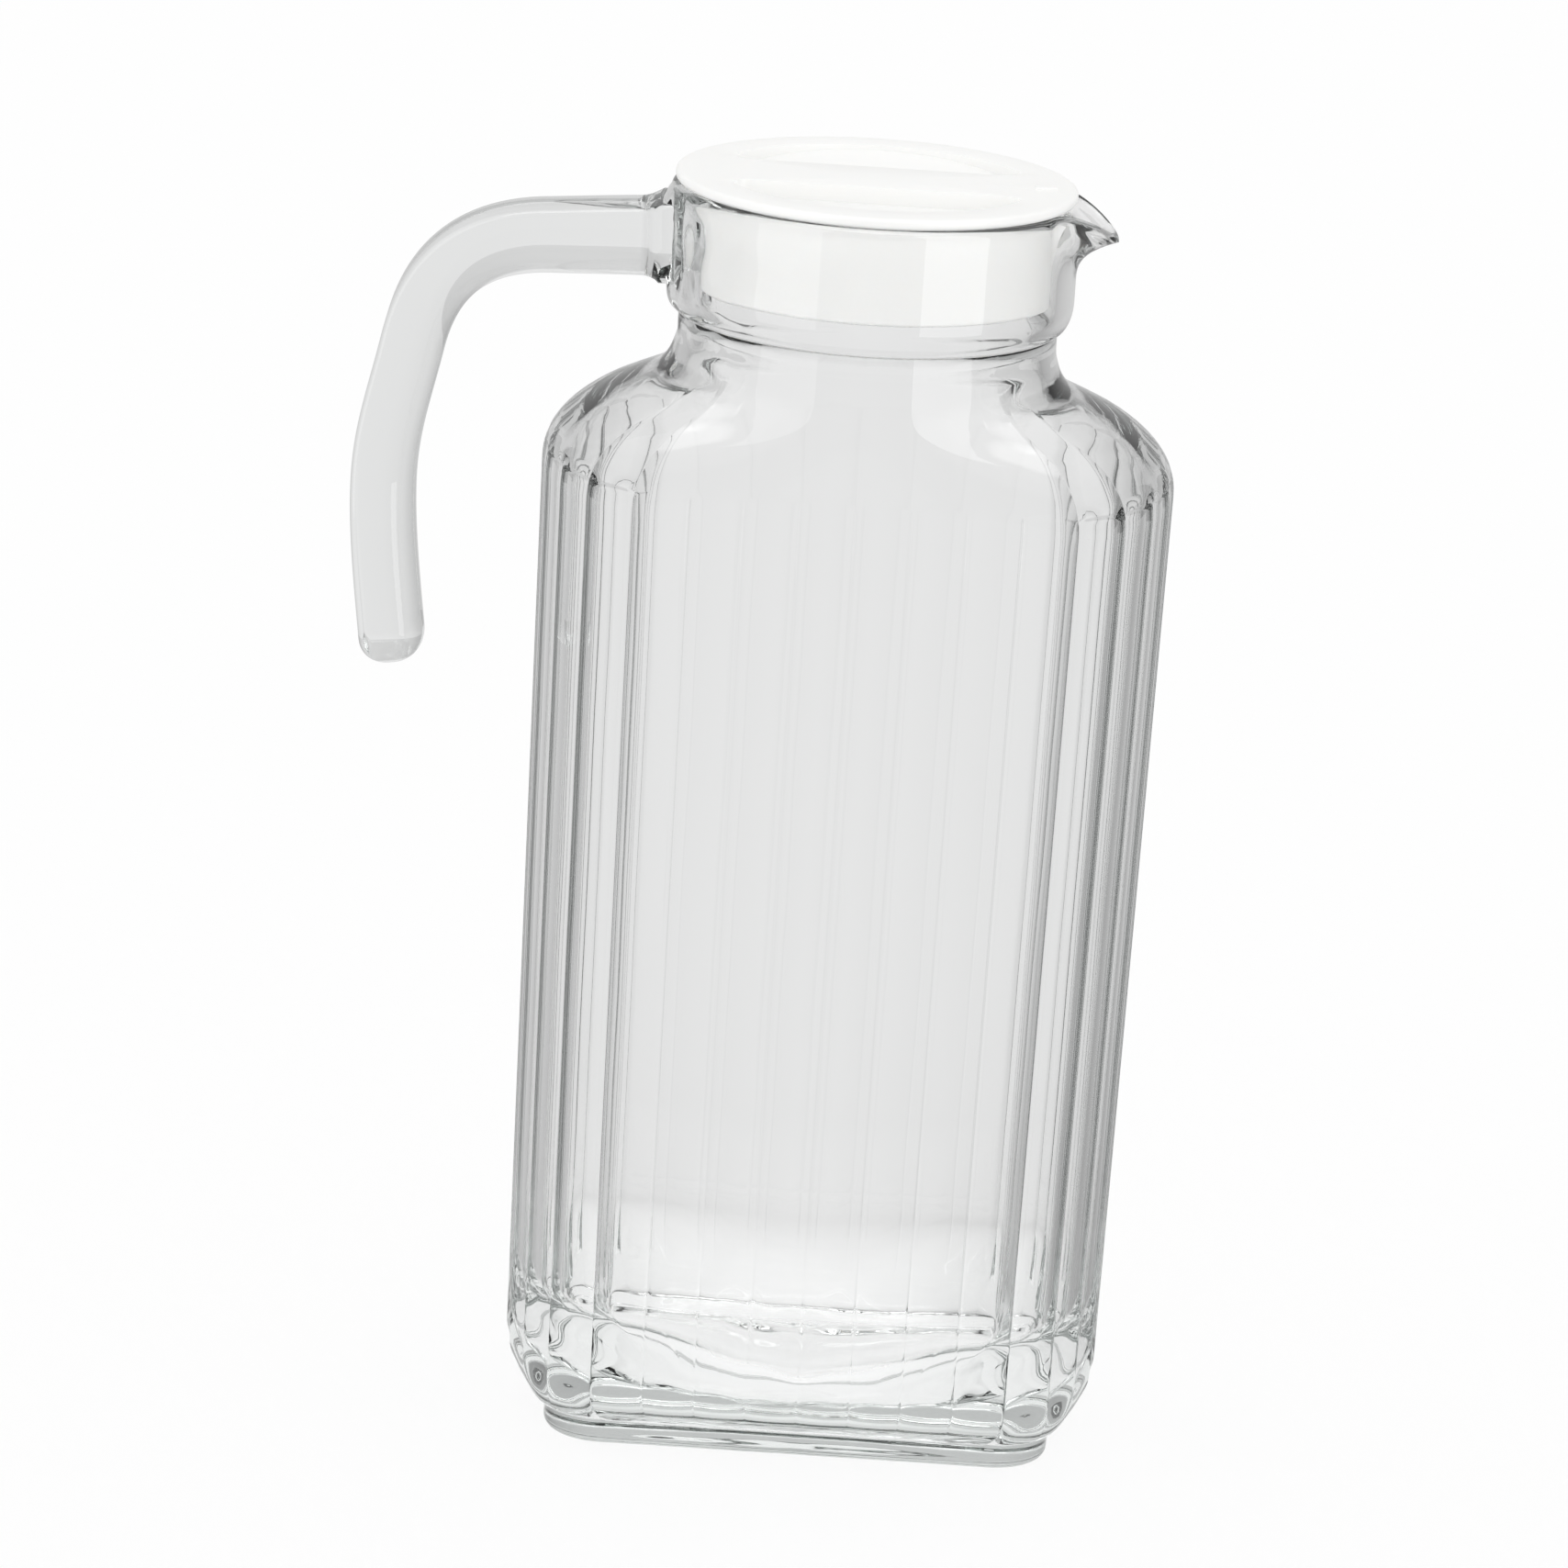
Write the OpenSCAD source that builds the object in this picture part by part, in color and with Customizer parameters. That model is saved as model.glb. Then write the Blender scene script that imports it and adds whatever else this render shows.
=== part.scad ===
// Fluted glass jug for the fridge door: a round jug with a flat front and back, a hung
// handle, a pulled pouring lip and a push-in plastic lid. Lengths are in millimetres and angles in degrees.
// +Z is up, +X points to the pouring lip and -X to the handle.
// The origin is the middle of the foot's underside.

/* [Jug body] */
// Width of the body at the top of its walls, over the ridges of its round sides
body_w = 112.4; // [108:0.1:118]
// Width of the body where its walls meet the rounded bottom edge
base_w = 107.6; // [104:0.1:110]
// Depth of the body at the top of its walls, between its flat front and back
body_d = 75.4; // [73.4:0.1:84]
// Height of the walls, where the shoulder starts to round over
wall_h = 174.5; // [130:0.5:200]
// Thickness of the glass wall
wall = 3.5; // [2.5:0.1:4.5]
// Thickness of the glass floor above the foot
floor_t = 3; // [2:0.1:6]
// Radius between the floor and the walls inside
floor_r = 14; // [8:1:18]

/* [Flutes] */
// Flutes on each of the four sides, two flat and two round
flutes = 8; // [4:1:9]
// Depth of a flute
flute_d = 0.45; // [0.2:0.05:0.8]
// How far the flutes run up over the shoulder
flute_over = 4; // [3:0.5:10]

/* [Foot] */
// Width of the foot
foot_w = 91.2; // [84:0.1:94]
// Depth of the foot
foot_d = 60; // [54:0.1:62]
// Height of the foot
foot_h = 5.2; // [3:0.1:8]
// Radius of the foot's corners
foot_r = 10.5; // [8:0.5:14]
// Radius of the foot's lower edge
foot_edge_r = 2.2; // [0.6:0.1:2.6]
// Width of the narrow ledge around the foot, under the body
ledge_w = 0.6; // [0.3:0.1:1.2]
// Height of the rounded bottom edge of the body, above the foot
bottom_edge_h = 7.6; // [6:0.1:14]

/* [Shoulder and neck] */
// Height of the shoulder, from the top of the walls to the foot of the neck
shoulder_h = 17.9; // [14:0.1:26]
// How tightly the shoulder rounds over beside the walls: a higher power is tighter
shoulder_power = 2.6; // [1.6:0.1:3]
// Outer radius of the neck at its waist
neck_r = 33.5; // [31:0.1:34]
// How far the neck flares where it meets the shoulder
neck_flare = 2.6; // [2:0.1:3]
// Height of the neck, from the shoulder to the underside of the collar
neck_h = 11.6; // [8:0.1:16]

/* [Collar] */
// How far the collar stands out from the neck
collar_out = 2.1; // [1.4:0.1:4.4]
// Height of the collar, over its rim
collar_h = 23; // [20:0.1:30]
// Thickness of the collar's wall
collar_t = 3.2; // [2.6:0.1:3.8]
// Height of the collar's rounded lower edge
collar_edge_h = 5.2; // [3:0.1:6]
// Depth of the mouth's bore, down to the ledge above the neck
mouth_d = 18.6; // [17.8:0.1:19.5]

/* [Pouring lip] */
// How far the lip reaches out from the collar
lip_out = 7.1; // [4:0.1:9]
// How far the lip dips below the rim
lip_drop = 5; // [4:0.1:7]
// Height of the lip's bend, below the rim
lip_h = 13.6; // [12:0.1:16]
// Half of the angle that the lip takes from the collar
lip_angle = 27; // [20:1:32]
// Thickness of the glass at the lip's tip
lip_t = 2.4; // [1.4:0.1:2.8]
// How sharply the lip dips at its tip: a higher power keeps its sides up for longer
lip_dip_power = 1.6; // [1:0.1:2.5]

/* [Handle] */
// Thickness of the handle at its root, from its upper to its under face
handle_root_t = 13; // [11:0.1:13.4]
// Thickness of the handle along its grip
handle_t = 11.4; // [9:0.1:12]
// Width of the handle from side to side
handle_w = 14; // [11:0.1:16]
// Corner radius of the handle's section
handle_edge_r = 4.6; // [3:0.1:4.8]
// Reach of the handle, from the jug's axis to the middle of its grip
handle_reach = 84; // [80:0.1:92]
// Length of the grip, from the level of the handle's root down to its tip
handle_drop = 80; // [60:0.5:100]
// Depth of the handle's root below the rim of the collar
handle_root_d = 11.4; // [10:0.1:14]
// How far the boss under the handle's root stands out from the collar
boss_out = 1.3; // [1:0.1:3]
// Height of that boss
boss_h = 17; // [17:0.1:18]
// Width of that boss
boss_w = 16.4; // [16.2:0.1:18]
// How far the boss sits above the middle of the handle's root
boss_rise = 1.6; // [0.2:0.1:1.8]

/* [Lid] */
// How far the lid's disc reaches out over the rim, from the bore of the mouth
lid_over = 3.1; // [1.6:0.1:5]
// Thickness of the lid's disc
lid_t = 1.9; // [1.4:0.1:2.6]
// Depth of the skirt that plugs the mouth
skirt_h = 17.6; // [10:0.1:17.6]
// Thickness of the skirt
skirt_t = 1.6; // [1.2:0.1:2.4]
// Width of the pouring notch in the skirt
notch_w = 22; // [14:1:26]
// Height of the pouring notch
notch_h = 13.5; // [6:0.1:13.5]
// Width of the grip bar across the lid
bar_w = 18; // [12:0.5:24]
// Radius of the two finger scoops beside the bar
scoop_r = 28.2; // [24:0.1:28.4]
// Depth of a scoop beside the bar
scoop_d = 3; // [2.2:0.1:4]
// Depth of a scoop at its far side
scoop_rim_d = 0.8; // [0.4:0.1:1.2]
// Thickness of the scoops' floor
scoop_t = 1.4; // [1:0.1:2]
// Length of the raised pointer that marks the pouring side
pointer_l = 4; // [2:0.1:5]
// Height of the raised pointer
pointer_h = 0.3; // [0.2:0.05:0.5]

/* [Fits] */
// Gap between the lid's skirt and the bore of the mouth
skirt_gap = 0.3; // [0.15:0.05:0.5]
// Gap under the lid's disc, over the rim of the glass
seat_gap = 0.1; // [0.05:0.05:0.3]

/* [Hidden] */
$fn = 96;
glass_colour = [0.84, 0.89, 0.88, 0.5];
lid_colour = [0.97, 0.97, 0.96];
overrun = 1;

// Heights, worked out from the foot up
bottom_edge_z = foot_h + bottom_edge_h;
floor_z = foot_h + floor_t;
neck_z = wall_h + shoulder_h;
collar_z = neck_z + neck_h;
rim_z = collar_z + collar_h;
lid_z = rim_z + seat_gap;
ledge_z = rim_z - mouth_d;
lip_z = rim_z - lip_h;
handle_z = rim_z - handle_root_d;

// Radii of the mouth and neck, and the places that follow them
collar_r = neck_r + collar_out;
mouth_r = collar_r - collar_t;
lid_r = mouth_r + lid_over;
neck_foot_r = neck_r + neck_flare;
neck_bore_r = neck_r - wall;
rim_round_r = collar_t / 2;
seam_x = -(collar_r + boss_out);
skirt_r = mouth_r - skirt_gap;

// Half the length of the flat front, as a share of the width
flat_share = 0.345;
// Depth of the body for each length of its width
depth_share = body_d / body_w;
// Share of the neck's height over which it flares
flare_share = 0.75;
// Slices across the pouring lip, and steps along each curve of the handle
lip_slices = 24;
handle_steps = 9;
// Angle over which the handle's end is rounded off, just short of a point
tip_angle = 78;
// Points along one flute, and steps along the rounded stretches
flute_points = 3;
shoulder_steps = 8;
inner_steps = 5;
edge_steps = 4;

// Points of an arc around a centre, from one angle to another
function arc(centre, r, from, to, steps) =
    [for (i = [0:steps]) centre + r * [cos(from + (to - from) * i / steps),
                                       sin(from + (to - from) * i / steps)]];

function turn(p, angle) =
    [p[0] * cos(angle) - p[1] * sin(angle), p[0] * sin(angle) + p[1] * cos(angle)];

function mix(a, b, t) = a + (b - a) * t;

// Half of the ridge points: the round side that faces +X, then the flat side at +Y.
// The ridges of a round side lie on a circle, between the ends of the flats.
function half_ridges(w, d) =
    let (flat = w * flat_share, open = atan2(d / 2, flat))
    concat(
        [for (i = [1:flutes - 1])
            let (a = open * (2 * i / flutes - 1)) w / 2 * [cos(a), sin(a)]],
        [for (i = [0:flutes]) [flat * (1 - 2 * i / flutes), d / 2]]);

function ridges(w, d) = [for (side = [0, 180]) for (p = half_ridges(w, d)) turn(p, side)];

// A closed ring of points through the ridges, sunk between them by the depth of a flute
function fluted_ring(w, d, depth) =
    let (corners = ridges(w, d), count = len(corners))
    [for (i = [0:count - 1]) for (k = [0:flute_points - 1])
        let (a = corners[i], b = corners[(i + 1) % count], t = k / flute_points,
             along = (b - a) / norm(b - a), inward = [-along[1], along[0]])
        mix(a, b, t) + inward * depth * 4 * t * (1 - t)];

// The outer wall's ring at a width, with the depth that belongs to that width
function wall_ring(w, depth) = fluted_ring(w, w * depth_share, depth);

// The smooth ring inside the wall, set in from the wall's flutes
function inner_ring(w, inset) =
    fluted_ring(w - 2 * inset, w * depth_share - 2 * inset, 0);

function round_ring(r) =
    [for (p = wall_ring(body_w, 0)) r * p / norm(p)];

// How far a rounded rectangle reaches out in one direction
function block_reach(way, x, y, r) =
    let (c = [abs(way[0]), abs(way[1])], corner = [x - r, y - r],
         along = c * corner,
         bend = along + sqrt(max(0, along * along - corner * corner + r * r)))
    c[1] * x <= corner[1] * c[0] ? x / c[0] : c[0] * y <= corner[0] * c[1] ? y / c[1] : bend;

// The outline of the foot and its ledge, with one point for each point of the wall's ring
function ledge_ring() =
    [for (p = wall_ring(base_w, 0))
        p / norm(p) * block_reach(p / norm(p), foot_w / 2 + ledge_w, foot_d / 2 + ledge_w,
                                  foot_r + ledge_w)];

function ring_at(points, z) = [for (p = points) [p[0], p[1], z]];

// A ring part of the way over the shoulder, from the walls to the foot of the neck
function shoulder_ring(low, high, t) =
    [for (i = [0:len(low) - 1]) mix(low[i], high[i], pow(t, shoulder_power))];

// How much of the flutes' depth is left at a height above the walls
function flute_left(rise) =
    let (t = min(1, max(0, rise / flute_over))) 1 - t * t * t;

// Middle of a ring of points
function ring_middle(ring) = [for (p = ring) 1] * ring / len(ring);

// A closed skin from a stack of rings. Each end is closed by a fan round its middle.
module ring_skin(rings) {
    n = len(rings[0]);
    last = len(rings) - 1;
    low_middle = n * (last + 1);
    high_middle = low_middle + 1;
    sides = [for (j = [0:last - 1]) for (i = [0:n - 1]) for (half = [0:1])
        let (a = j * n + i, b = j * n + (i + 1) % n)
        half == 0 ? [a, a + n, b] : [b, a + n, b + n]];
    low_cap = [for (i = [0:n - 1]) [low_middle, i, (i + 1) % n]];
    high_cap = [for (i = [0:n - 1]) [high_middle, last * n + (i + 1) % n, last * n + i]];
    middles = [ring_middle(rings[0]), ring_middle(rings[last])];
    polyhedron(points = concat([for (ring = rings) for (p = ring) p], middles),
               faces = concat(low_cap, sides, high_cap), convexity = 8);
}

// The foot: a rounded block with a soft lower edge
module foot_edge_profile(half) {
    difference() {
        translate([-half, 0])
            square([2 * half, foot_h]);
        for (side = [-1, 1])
            translate([side * half, 0])
                difference() {
                    square(2 * foot_edge_r, center = true);
                    translate([-side * foot_edge_r, foot_edge_r])
                        circle(foot_edge_r);
                }
    }
}

module base_foot() {
    inset_x = foot_w / 2 - foot_r;
    inset_y = foot_d / 2 - foot_r;
    color(glass_colour) {
        rotate([90, 0, 0])
            linear_extrude(2 * inset_y, center = true)
                foot_edge_profile(foot_w / 2);
        rotate([90, 0, 90])
            linear_extrude(2 * inset_x, center = true)
                foot_edge_profile(foot_d / 2);
        for (x = [-inset_x, inset_x])
            for (y = [-inset_y, inset_y])
                translate([x, y, 0])
                    rotate_extrude()
                        intersection() {
                            foot_edge_profile(foot_r);
                            square([foot_r, foot_h]);
                        }
    }
}

// The blown body: rounded bottom edge, fluted walls, shoulder, and the hollow inside
module jug_body() {
    drawn_in = [for (i = [edge_steps:-1:1]) 90 * i / edge_steps];
    low_ring = ledge_ring();
    bottom = [for (a = drawn_in)
        let (high = wall_ring(base_w, flute_d * (1 - sin(a))), share = 1 - cos(a))
        ring_at([for (i = [0:len(high) - 1]) mix(high[i], low_ring[i], share)],
                bottom_edge_z - bottom_edge_h * sin(a))];
    walls = [ring_at(wall_ring(base_w, flute_d), bottom_edge_z),
             ring_at(wall_ring(body_w, flute_d), wall_h)];
    neck_ring = round_ring(neck_foot_r);
    shoulder = [for (i = [1:shoulder_steps])
        let (t = i / shoulder_steps,
             low = wall_ring(body_w, flute_d * flute_left(t * shoulder_h)))
        ring_at(shoulder_ring(low, neck_ring, t), neck_z - shoulder_h * (1 - t))];
    inset = wall + flute_d;
    inner_neck_ring = round_ring(neck_foot_r - wall);
    inner_top = inner_ring(body_w, inset);
    inside = [for (i = [inner_steps:-1:0])
        let (t = i / inner_steps)
        ring_at(shoulder_ring(inner_top, inner_neck_ring, t),
                neck_z - (shoulder_h + wall / 2) * (1 - t))];
    floor_edge = [for (i = [0:edge_steps])
        let (a = 90 * i / edge_steps)
        ring_at(inner_ring(base_w, inset + floor_r * (1 - cos(a))),
                floor_z + floor_r * (1 - sin(a)))];
    color(glass_colour)
        ring_skin(concat(bottom, walls, shoulder, inside, floor_edge));
}

// Outline of the neck and collar, from the neck's foot up the outside and down the bore
function collar_outline() = concat(
    [for (i = [0:edge_steps])
        let (t = i / edge_steps)
        [neck_r + neck_flare * (1 - t) * (1 - t), neck_z + neck_h * flare_share * t]],
    [[neck_r, collar_z]],
    [for (i = [1:edge_steps])
        let (a = 90 * i / edge_steps)
        [mix(neck_r, collar_r, sin(a)), collar_z + collar_edge_h * (1 - cos(a))]],
    arc([collar_r - rim_round_r, rim_z - rim_round_r], rim_round_r, 0, 180,
        2 * edge_steps),
    [[mouth_r, ledge_z]],
    [[neck_bore_r, ledge_z - (mouth_r - neck_bore_r)]],
    [[neck_bore_r, neck_z + neck_h * flare_share]],
    [for (i = [1:edge_steps])
        let (t = i / edge_steps)
        [neck_bore_r + neck_flare * t * t, neck_z + neck_h * flare_share * (1 - t)]]);

// The boss on the collar that the hot handle was pressed against
module handle_boss() {
    r = handle_edge_r;
    translate([-collar_r - boss_out, 0, handle_z + boss_rise])
        rotate([90, 0, 90])
            linear_extrude(boss_out + collar_t / 2)
                polygon(concat(
                    arc([boss_w / 2 - r, boss_h / 2 - r], r, 0, 90, edge_steps),
                    arc([r - boss_w / 2, boss_h / 2 - r], r, 90, 180, edge_steps),
                    arc([r - boss_w / 2, r - boss_h / 2], r, 180, 270, edge_steps),
                    arc([boss_w / 2 - r, r - boss_h / 2], r, 270, 360, edge_steps)));
}

module neck_collar() {
    far = collar_r + lip_out;
    color(glass_colour)
        difference() {
            union() {
                rotate_extrude()
                    polygon(collar_outline());
                handle_boss();
            }
            translate([0, 0, ledge_z])
                cylinder(h = mouth_d + overrun, r = mouth_r);
            translate([0, 0, lip_z])
                linear_extrude(lip_h + overrun)
                    polygon([[0, 0], [far, -far * tan(lip_angle)],
                             [far, far * tan(lip_angle)]]);
        }
}

// Section of the lip at a share of its half angle: out along the wall's outer face,
// over the edge and back down the inner face
function lip_section(u) =
    let (pull = pow(cos(90 * u), 2),
         edge_z = rim_z - rim_round_r - lip_drop * pow(pull, lip_dip_power),
         outer_out = lip_out * pull,
         inner_out = (lip_out + collar_t - lip_t) * pull,
         steps = 2 * edge_steps,
         outer_tip = collar_r + outer_out,
         inner_tip = mouth_r + inner_out,
         half = (outer_tip - inner_tip) / 2)
    concat(
        [for (i = [0:steps - 1])
            let (t = i / steps)
            [collar_r + outer_out * t * t * t, mix(lip_z, edge_z, t)]],
        arc([inner_tip + half, edge_z], half, 0, 180, edge_steps),
        [for (i = [steps - 1:-1:0])
            let (t = i / steps)
            [mouth_r + inner_out * t * t * t, mix(lip_z, edge_z, t)]]);

module pour_spout() {
    color(glass_colour)
        ring_skin([for (j = [0:lip_slices])
            let (u = 1 - 2 * j / lip_slices, a = lip_angle * u)
            [for (p = lip_section(u)) [p[0] * cos(a), p[0] * sin(a), p[1]]]]);
}

// The handle's middle line, in the plane of the jug's axis, as three Bezier curves.
// Each point is a share of the reach from the seam, and of the drop from the root.
bend_shares = [[0, 0], [0.17, 0.004], [0.3, 0.01], [0.42, 0.014],
               [0.74, 0.024], [0.87, 0.125], [0.915, 0.26],
               [0.955, 0.38], [1, 0.46], [1, 0.575],
               [1, 0.69], [0.965, 0.82], [0.94, 0.929]];

function bezier(p, t) =
    pow(1 - t, 3) * p[0] + 3 * pow(1 - t, 2) * t * p[1]
    + 3 * (1 - t) * t * t * p[2] + t * t * t * p[3];

function handle_point(i) =
    let (span = handle_reach + seam_x)
    [seam_x - span * bend_shares[i][0], handle_z - handle_drop * bend_shares[i][1]];

function handle_line() =
    let (last = len(bend_shares) - 1)
    concat([for (start = [0:3:last - 3]) for (k = [0:handle_steps - 1])
        bezier([for (i = [0:3]) handle_point(start + i)], k / handle_steps)],
        [handle_point(last)]);

// Rounded rectangle of the handle's section, drawn in by a share at its end
function handle_section(t, scale_t, scale_w) =
    let (r = handle_edge_r * min(scale_t, scale_w),
         a = t / 2 * scale_t - r, b = handle_w / 2 * scale_w - r)
    concat(arc([a, b], r, 0, 90, edge_steps), arc([-a, b], r, 90, 180, edge_steps),
           arc([-a, -b], r, 180, 270, edge_steps), arc([a, -b], r, 270, 360, edge_steps));

module handle() {
    line = handle_line();
    root_length = 2 * handle_steps;
    last = len(line) - 1;
    ways = [for (i = [0:last])
        let (d = line[min(i + 1, last)] - line[max(i - 1, 0)]) d / norm(d)];
    body = [for (i = [0:last])
        let (way = i == 0 ? [-1, 0] : ways[i], side = [-way[1], way[0]],
             t = mix(handle_root_t, handle_t, min(1, i / root_length)))
        [for (q = handle_section(t, 1, 1))
            [line[i][0] + side[0] * q[0], q[1], line[i][1] + side[1] * q[0]]]];
    tip_way = ways[last];
    tip_side = [-tip_way[1], tip_way[0]];
    tip = [for (k = [1:edge_steps])
        let (a = tip_angle * k / edge_steps, reach = handle_t / 2 * sin(a), narrow = cos(a))
        [for (q = handle_section(handle_t, narrow, mix(1, narrow, handle_t / handle_w)))
            [line[last][0] + tip_way[0] * reach + tip_side[0] * q[0], q[1],
             line[last][1] + tip_way[1] * reach + tip_side[1] * q[0]]]];
    color(glass_colour)
        ring_skin(concat(body, tip));
}

// One finger scoop: part of a round pocket beside the bar, deepest next to the bar
module scoop_space(side, r, drop) {
    run = scoop_r - bar_w / 2;
    slope = atan((scoop_d - scoop_rim_d) / run);
    intersection() {
        translate([0, 0, lid_z - scoop_d - scoop_t])
            cylinder(h = lid_t + scoop_d + scoop_t + overrun, r = r);
        translate([0, side * bar_w / 2, lid_z + lid_t - scoop_d - drop])
            rotate([side * slope, 0, 0])
                translate([-r, side > 0 ? 0 : -2 * r, 0])
                    cube([2 * r, 2 * r, scoop_d + drop + overrun]);
    }
}

module lid_cap() {
    pointer_x = (scoop_r + lid_r) / 2 - pointer_l;
    color(lid_colour) {
        difference() {
            union() {
                translate([0, 0, lid_z])
                    cylinder(h = lid_t, r = lid_r);
                intersection() {
                    for (side = [-1, 1])
                        scoop_space(side, scoop_r + scoop_t, scoop_t);
                    cylinder(h = lid_z + lid_t, r = skirt_r - skirt_t - skirt_gap);
                }
            }
            for (side = [-1, 1])
                scoop_space(side, scoop_r, 0);
        }
        translate([pointer_x, 0, lid_z + lid_t])
            linear_extrude(pointer_h)
                polygon([[0, -pointer_l / 2], [pointer_l, 0], [0, pointer_l / 2]]);
    }
}

module lid_skirt() {
    color(lid_colour)
        difference() {
            translate([0, 0, lid_z - skirt_h])
                cylinder(h = skirt_h, r = skirt_r);
            translate([0, 0, lid_z - skirt_h - overrun])
                cylinder(h = skirt_h + 2 * overrun, r = skirt_r - skirt_t);
            translate([0, -notch_w / 2, lid_z - skirt_h - overrun])
                cube([skirt_r + overrun, notch_w, notch_h + overrun]);
        }
}

base_foot();
jug_body();
neck_collar();
pour_spout();
handle();
lid_cap();
lid_skirt();
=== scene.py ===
# %% [markdown]
# # A fluted glass jug with a push-in lid
# The jug is one piece of clear soda-lime glass. It was blown in a mould, so its outside carries
# the mould's flutes and its inside is smooth. The handle was pressed on while hot, and the lip
# was pulled out of the rim. The lid is one white plastic moulding that plugs the mouth. The packed
# part brings the solids and their bodies; this lesson dresses them, in metres and in the same
# frame.

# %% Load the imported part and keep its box
import math

import bmesh
import bpy
import numpy as np
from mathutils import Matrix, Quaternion, Vector, noise


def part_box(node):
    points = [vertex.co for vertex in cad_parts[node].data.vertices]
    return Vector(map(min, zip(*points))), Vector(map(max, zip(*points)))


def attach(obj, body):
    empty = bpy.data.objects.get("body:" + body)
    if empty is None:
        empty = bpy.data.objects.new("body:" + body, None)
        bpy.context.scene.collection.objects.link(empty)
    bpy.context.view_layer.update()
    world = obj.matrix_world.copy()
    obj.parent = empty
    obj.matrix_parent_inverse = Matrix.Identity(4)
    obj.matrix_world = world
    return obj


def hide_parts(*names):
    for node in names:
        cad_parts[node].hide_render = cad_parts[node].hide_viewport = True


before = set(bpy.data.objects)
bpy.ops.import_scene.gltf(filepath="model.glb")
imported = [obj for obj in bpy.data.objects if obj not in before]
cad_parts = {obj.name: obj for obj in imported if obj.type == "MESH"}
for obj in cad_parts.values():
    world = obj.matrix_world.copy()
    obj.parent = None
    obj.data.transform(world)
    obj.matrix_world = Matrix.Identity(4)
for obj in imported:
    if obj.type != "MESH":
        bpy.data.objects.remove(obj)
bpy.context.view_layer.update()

MM = 0.001

# %% [markdown]
# ## Sizes
# What the solids can tell is read from their boxes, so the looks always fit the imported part. The
# rest are the part's own small sizes, such as the depth of a flute or the thickness of the wall.
# Each is written once, as a real size, either here or where it is first needed.

# %% Read the main sizes from the solids
_, body_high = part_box("jug_body")
_, foot_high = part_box("base_foot")
_, collar_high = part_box("neck_collar")
_, cap_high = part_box("lid_cap")
skirt_low, skirt_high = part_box("lid_skirt")
BODY_W, BODY_D = 2 * body_high.x, 2 * body_high.y
FOOT_W, FOOT_D, FOOT_H = 2 * foot_high.x, 2 * foot_high.y, foot_high.z
NECK_Z, RIM_Z = body_high.z, collar_high.z
COLLAR_R = collar_high.y
LID_T = 1.9 * MM
LID_R, LID_TOP_Z = cap_high.y, skirt_high.z + LID_T
SKIRT_R, SKIRT_Z = skirt_high.y, skirt_low.z
print("body", round(BODY_W / MM, 1), "x", round(BODY_D / MM, 1), "mm, rim at", round(RIM_Z / MM, 1))

# %% Name the smaller sizes of the glass
BASE_W = 107.6 * MM
WALL_Z = 174.5 * MM
WALL = 3.5 * MM
FLOOR_T = 3 * MM
FLOOR_R = 20 * MM
FLAT_SHARE = 0.345
FLUTES = 8
FLUTE_D = 0.45 * MM
FLAT_FLUTE_D = 0.15 * MM
ROUND_FLUTE_D = 0.34 * MM
FLUTE_TOP_Z = 177.2 * MM
FLUTE_LOW_Z = 16 * MM
FLUTE_FADE_H = 8 * MM
ARCH_H = 1.5 * MM
FOOT_R = 10.5 * MM
FOOT_EDGE_R = 2.2 * MM
LEDGE_W = 0.6 * MM
BOTTOM_EDGE_H = 7.6 * MM
SHOULDER_H = NECK_Z - WALL_Z
SHOULDER_POWER = 2.6
NECK_R = 33.5 * MM
NECK_FLARE = 2.6 * MM
NECK_H = 11.6 * MM
NECK_FLARE_H = 0.75 * NECK_H
COLLAR_T = 3.2 * MM
COLLAR_EDGE_H = 5.2 * MM
MOUTH_D = 18.6 * MM
BOTTOM_EDGE_Z = FOOT_H + BOTTOM_EDGE_H
FLOOR_Z = FOOT_H + FLOOR_T
COLLAR_Z = NECK_Z + NECK_H
LEDGE_Z = RIM_Z - MOUTH_D
RIM_EDGE_Z = RIM_Z - COLLAR_T / 2
MOUTH_R = COLLAR_R - COLLAR_T
BORE_R = NECK_R - WALL
print("wall", WALL / MM, "mm, mouth", round(2 * MOUTH_R / MM, 1), "mm, floor", FLOOR_T / MM, "mm")

# %% [markdown]
# ## Rings
# A jug is easy to describe as a stack of closed rings: up the outside, over the rim and down the
# inside to the floor. Every ring has the same number of points, so neighbouring rings join with
# four-sided faces, and the flutes run straight through all of them. A revolved curve could not
# do this, because the plan is a circle cut by two flats. Each flute gets fourteen points, as
# glass shows every facet.

# %% Lay out the ridges between the flutes
STEPS = 14
RING_POINTS = 4 * FLUTES * STEPS


def ridge_line(width, depth):
    """The ridges, from the round side at +X over the flat side at +Y and on round to -Y."""
    flat = width * FLAT_SHARE
    opening = math.atan2(depth / 2, flat)
    turns = [opening * (2 * i / FLUTES - 1) for i in range(1, FLUTES)]
    round_side = [(width / 2 * math.cos(a), width / 2 * math.sin(a)) for a in turns]
    flat_side = [(flat * (1 - 2 * i / FLUTES), depth / 2) for i in range(FLUTES + 1)]
    half = round_side + flat_side
    return np.array(half + [(-x, -y) for x, y in half])


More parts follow.
